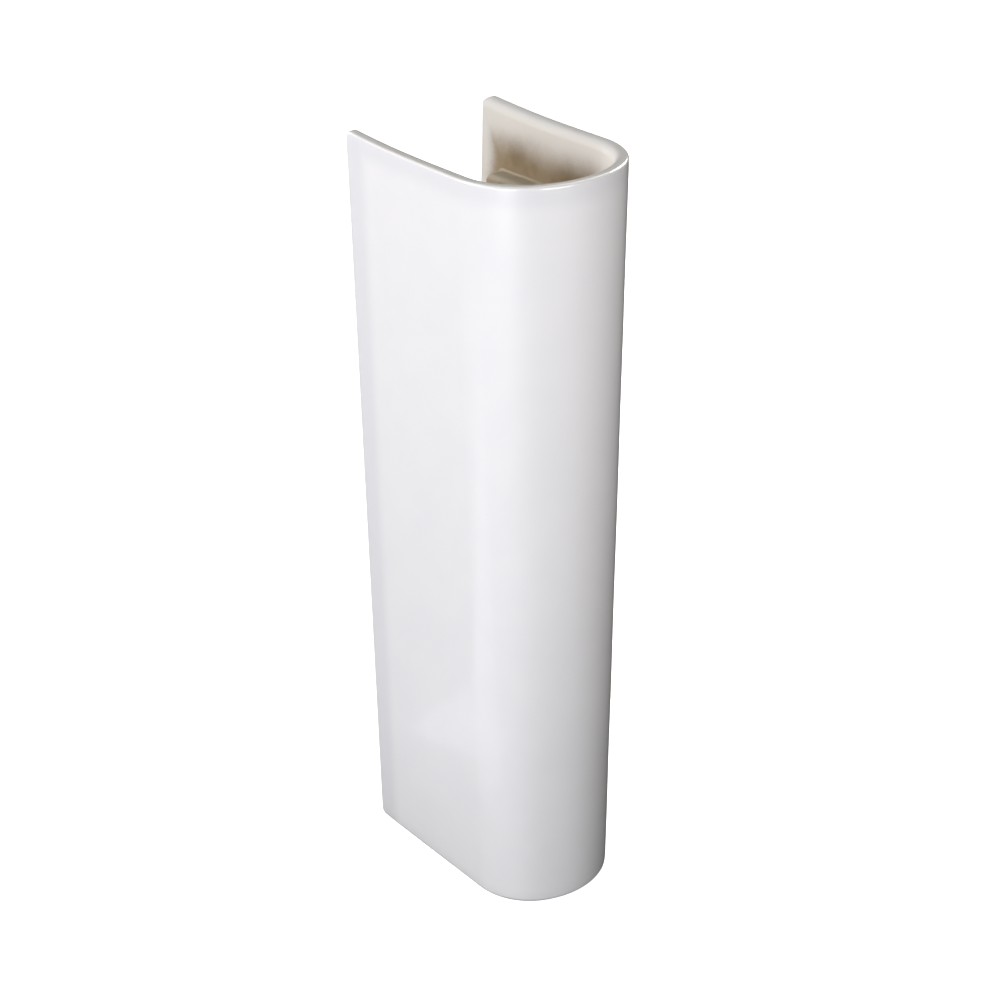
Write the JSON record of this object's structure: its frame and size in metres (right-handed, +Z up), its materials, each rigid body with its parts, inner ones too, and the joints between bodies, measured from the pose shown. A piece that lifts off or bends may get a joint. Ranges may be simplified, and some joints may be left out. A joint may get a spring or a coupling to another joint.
{
  "type": "basin pedestal",
  "caption": "Tapering vitreous china pedestal column, U-shaped in plan with a rounded nose, an open back and an open top, that hides the trap and pipes under a wash basin.",
  "frame": {"origin": "on the floor, under the centre of the bounding box", "axes": "+Z up, -Y towards the rounded nose, +Y towards the wall and the open back, +X to the right seen from the nose"},
  "size_m": [0.1604, 0.216, 0.6838],
  "materials": {
    "glazed_china": "glossy white vitreous glaze",
    "raw_china": "fired body with a thin wash of glaze",
    "nylon": "moulded natural nylon"
  },
  "bodies": {
    "root": {"shell": "glazed_china", "ledge_left": "raw_china", "ledge_right": "raw_china", "cross_tie": "raw_china", "screw_lug_left": "raw_china", "screw_lug_right": "raw_china", "bush_left": "nylon", "bush_right": "nylon"}
  },
  "joints": []
}
